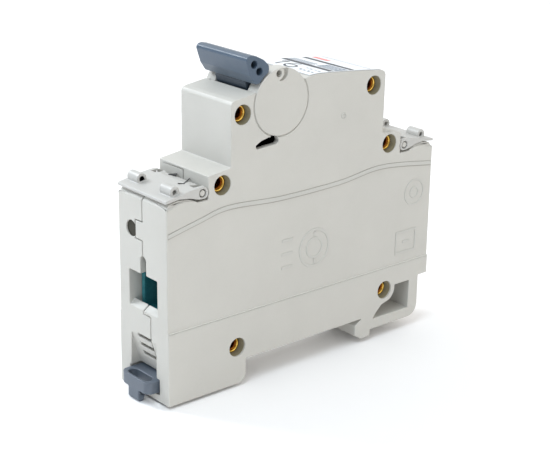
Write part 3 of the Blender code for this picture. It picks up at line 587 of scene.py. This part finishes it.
# The side faces lie this far under the widest outside, and the raised pieces are sunk into them.
SIDE_FACE = 0.25
SUNK = SIDE_FACE + 0.05
BAND_TOP = SIDE_FACE - 0.16
EDGE_TOP = SIDE_FACE - 0.02
MARK_TOP = SIDE_FACE - 0.12
MARK_SUNK = SIDE_FACE + 0.03
SIDES = (("near", -1), ("far", 1))
BAND_LINE = smooth_line([
    (0.3, 38.5), (8.5, 40.3), (16.5, 41.7), (31.0, 40.8), (48.5, 41.0), (62.0, 42.2), (78.5, 40.2),
])
for tag, side in SIDES:
    band(f"side_band_{tag}", BAND_LINE, (0.1, 0.95), side, BAND_TOP, SUNK, MARKS)
    # The two thin dark strips along the band's lower and upper edges are painted shade.
    band(f"side_band_low_edge_shade_{tag}", BAND_LINE, (-0.16, 0.14), side, EDGE_TOP, SUNK, BAND_EDGE_SHADE)
    band(f"side_band_top_edge_shade_{tag}", BAND_LINE, (0.91, 1.07), side, EDGE_TOP, SUNK, BAND_EDGE_SHADE)


# The lower part of each side stands out a little, and a lighter strip along its upper edge is a painted
# highlight.
STEP_LINE = [(0.3, 17.1), (LENGTH - 0.3, 17.1)]
for tag, side in SIDES:
    band(f"side_step_edge_highlight_{tag}", STEP_LINE, (-0.22, 0.04), side, 0.0, SIDE_FACE + 0.02, STEP_HIGHLIGHT)


def ring_mark(name, centre, radius, width, side, steps=48):
    """A raised ring on a side face."""
    bm = bmesh.new()
    rows = []
    slope = 0.06
    section = (
        (radius, MARK_SUNK), (radius - slope, MARK_TOP), (radius - width + slope, MARK_TOP),
        (radius - width, MARK_SUNK),
    )
    for r, depth in section:
        y = depth if side < 0 else WIDTH - depth
        row = []
        for i in range(steps):
            a = 2 * math.pi * i / steps
            row.append(bm.verts.new(at(centre[0] + r * math.cos(a), y, centre[1] + r * math.sin(a))))
        rows.append(row)
    for row, after in zip(rows, rows[1:]):
        join_rings(bm, row, after)
    return piece(bm, name, MARKS, "housing")


def bar_mark(name, low, high, side):
    """A raised bar between two (x, z) corners."""
    outline = [(low[0], low[1]), (high[0], low[1]), (high[0], high[1]), (low[0], high[1])]
    return plate(name, outline, side, MARK_TOP, MARK_SUNK, MARKS)


for tag, side in SIDES:
    ring_mark(f"mark_ring_big_{tag}", (41.4, 27.4), 4.7, 0.7, side)
    ring_mark(f"mark_ring_inner_{tag}", (41.4, 27.4), 2.6, 0.6, side)
    bar_mark(f"mark_bar_a_{tag}", (41.1, 30.1), (41.7, 31.3), side)
    bar_mark(f"mark_bar_b_{tag}", (41.1, 23.5), (41.7, 24.7), side)
    for i in range(3):
        z = 24.2 + 3.2 * i
        bar_mark(f"mark_dash_{i}_{tag}", (31.6, z), (34.8, z + 0.7), side)
    ring_mark(f"mark_ring_small_{tag}", (73.2, 34.3), 3.3, 0.42, side)
    ring_mark(f"mark_ring_core_{tag}", (73.2, 34.3), 1.5, 0.42, side)
    bar_mark(f"mark_box_low_{tag}", (67.6, 19.4), (74.6, 19.95), side)
    bar_mark(f"mark_box_high_{tag}", (67.6, 24.6), (74.6, 25.15), side)
    bar_mark(f"mark_box_left_{tag}", (67.6, 19.95), (68.15, 24.6), side)
    bar_mark(f"mark_box_right_{tag}", (74.05, 19.95), (74.6, 24.6), side)
    bar_mark(f"mark_box_middle_{tag}", (70.0, 22.0), (72.2, 22.55), side)
    ring_mark(f"gate_mark_{tag}", (49.3, 57.0), 0.75, 0.3, side, 24)


# ---------------------------------------------------------------- print on the front label

LABEL_LINE = [(60.6, 65.9), (53.6, 66.65), (49.0, 67.1), (45.6, 67.42), (41.5, 67.68), (39.0, 67.6)]
LABEL_LIFT = 0.2


def label_height(x):
    for (x1, z1), (x0, z0) in zip(LABEL_LINE, LABEL_LINE[1:]):
        if x0 <= x <= x1:
            return z0 + (z1 - z0) * (x - x0) / (x1 - x0) + LABEL_LIFT
    return LABEL_LINE[-1][1] + LABEL_LIFT


def printed(name, low, high, look, lift=0.012):
    """A printed patch between two (x, y) corners, following the label."""
    breaks = [x for x, z in LABEL_LINE if low[0] < x < high[0]]
    xs = [low[0], *sorted(breaks), high[0]]
    bm = bmesh.new()
    rows = []
    for x in xs:
        z = label_height(x) + lift
        rows.append([bm.verts.new(at(x, low[1], z)), bm.verts.new(at(x, high[1], z))])
    join_rows(bm, rows)
    return piece(bm, name, look, "housing", recalculate=False)


def stroke(name, points, width, look, lift=0.014):
    """A printed stroke of even width along (x, y) points on the label."""
    bm = bmesh.new()
    rows = []
    for i, (x, y) in enumerate(points):
        ahead = Vector(points[min(i + 1, len(points) - 1)]) - Vector(points[max(i - 1, 0)])
        across = Vector((-ahead.y, ahead.x)).normalized() * width / 2
        row = []
        for sign in (-1, 1):
            u, v = x + sign * across.x, y + sign * across.y
            row.append(bm.verts.new(at(u, v, label_height(u) + lift)))
        rows.append(row)
    join_rows(bm, rows)
    return piece(bm, name, look, "housing")


def bow(centre, reach, start, end, steps=20):
    """Points on an ellipse on the label: reach is its half size along x and y."""
    points = []
    for i in range(steps + 1):
        a = math.radians(start + (end - start) * i / steps)
        points.append((centre[0] + reach[0] * math.sin(a), centre[1] - reach[1] * math.cos(a)))
    return points


# A generic rating, "16", read along -Y with its top towards +X.
stroke("rating_one", [(40.3 + 0.43 * i, 13.6) for i in range(11)], 0.6, INK)
stroke("rating_one_flag", [(44.5, 13.7), (43.5, 15.0)], 0.5, INK)
stroke("rating_six_bowl", bow((41.5, 9.8), (1.15, 1.7), 0, 360), 0.55, INK)
stroke("rating_six_stem", [(44.6, 9.6), (43.9, 10.7), (42.9, 11.4), (41.5, 11.5)], 0.55, INK)
for i in range(4):
    y = 1.5 + 1.3 * i
    printed(f"small_print_{i}", (42.6 + 0.25 * (i % 2), y), (43.2, y + 0.8), GREY_INK)
    printed(f"small_print_low_{i}", (40.6, y), (41.1 + 0.2 * (i % 2), y + 0.7), GREY_INK)
printed("line_low", (44.9, 0.9), (46.4, 17.1), INK)
printed("line_high", (51.3, 0.9), (52.7, 17.1), INK)
for i in range(3):
    printed(f"scheme_line_{i}", (46.6 + 0.85 * i, 8.6), (47.05 + 0.85 * i, 16.9), GREY_INK)
printed("scheme_block", (46.9, 0.9), (50.7, 7.3), GREY_INK)
for i in range(3):
    printed(f"scheme_gap_{i}", (47.5 + 1.05 * i, 1.6), (47.8 + 1.05 * i, 6.6), FOIL, 0.02)
printed("red_patch", (54.0, 11.6), (55.5, 16.9), PINK_INK)
printed("line_thin", (57.6, 0.9), (57.8, 17.1), GREY_INK)


# ---------------------------------------------------------------- floor, light and camera

FLOOR_LOOK = plastic("floor_look", (0.97, 0.955, 0.95), rough=(0.6, 0.7), grain=0.1, mottle=0.005)
floor_mesh = bpy.data.meshes.new("floor")
bm = bmesh.new()
bmesh.ops.create_grid(bm, x_segments=8, y_segments=8, size=3.0)
bm.to_mesh(floor_mesh)
bm.free()
floor = bpy.data.objects.new("floor", floor_mesh)
floor.location.z = CAD_BOX[0].z
bpy.context.scene.collection.objects.link(floor)
floor_mesh.materials.append(FLOOR_LOOK)

world = bpy.data.worlds.new("studio")
world.use_nodes = True
sky = world.node_tree
direction = sky.nodes.new("ShaderNodeTexCoord").outputs["Generated"]
split = sky.nodes.new("ShaderNodeSeparateXYZ")
sky.links.new(direction, split.inputs["Vector"])
across = range_of(sky, split.outputs["X"], 0.0, 1.0, -0.7, 0.1)
cool = ramp_of(sky, across, [(0.0, (0.48, 0.53, 0.59)), (1.0, (1.0, 1.0, 0.99))])
sky.links.new(cool.outputs["Color"], sky.nodes["Background"].inputs["Color"])
sky.nodes["Background"].inputs["Strength"].default_value = 1.0
bpy.context.scene.world = world
bpy.context.scene.view_settings.view_transform = "Standard"


def soft_light(name, place, aim, size, power, colour=(1.0, 1.0, 1.0)):
    light = bpy.data.lights.new(name, "AREA")
    light.shape = "DISK"
    light.size = size
    light.energy = power
    light.color = colour
    made = bpy.data.objects.new(name, light)
    made.location = place
    made.rotation_euler = (Vector(aim) - Vector(place)).to_track_quat("-Z", "Y").to_euler()
    bpy.context.scene.collection.objects.link(made)
    return made


soft_light("key_light", (-0.35, -0.15, 0.55), (0, 0, 0.03), 0.3, 1.5, (0.82, 0.92, 1.0))
soft_light("side_light", (0.25, -0.6, 0.25), (0, 0, 0.03), 0.4, 0.4, (1.0, 0.96, 0.86))
soft_light("rim_light", (-0.2, 0.42, 0.4), (-0.01, 0, 0.06), 0.2, 2.2, (0.9, 0.95, 1.0))

# The camera stands in front of the near side, to the left of the clip end and above it.
AZIMUTH = math.radians(-40.706)
ELEVATION = math.radians(19.436)
ROLL = math.radians(0.938)
TARGET = Vector((-0.002152, 0.00003, 0.025708))
DISTANCE = 0.32541
back = Vector((
    math.sin(AZIMUTH) * math.cos(ELEVATION),
    -math.cos(AZIMUTH) * math.cos(ELEVATION),
    math.sin(ELEVATION),
))
right = Vector((math.cos(AZIMUTH), math.sin(AZIMUTH), 0))
up = back.cross(right)
turned_right = math.cos(ROLL) * right + math.sin(ROLL) * up
turned_up = -math.sin(ROLL) * right + math.cos(ROLL) * up
camera_data = bpy.data.cameras.new("camera")
camera_data.lens = 93.0
camera_data.sensor_width = 36.0
camera_data.clip_start = 0.01
camera = bpy.data.objects.new("camera", camera_data)
placed = Matrix((turned_right, turned_up, back)).transposed().to_4x4()
placed.translation = TARGET + back * DISTANCE
camera.matrix_world = placed
bpy.context.scene.collection.objects.link(camera)
bpy.context.scene.camera = camera
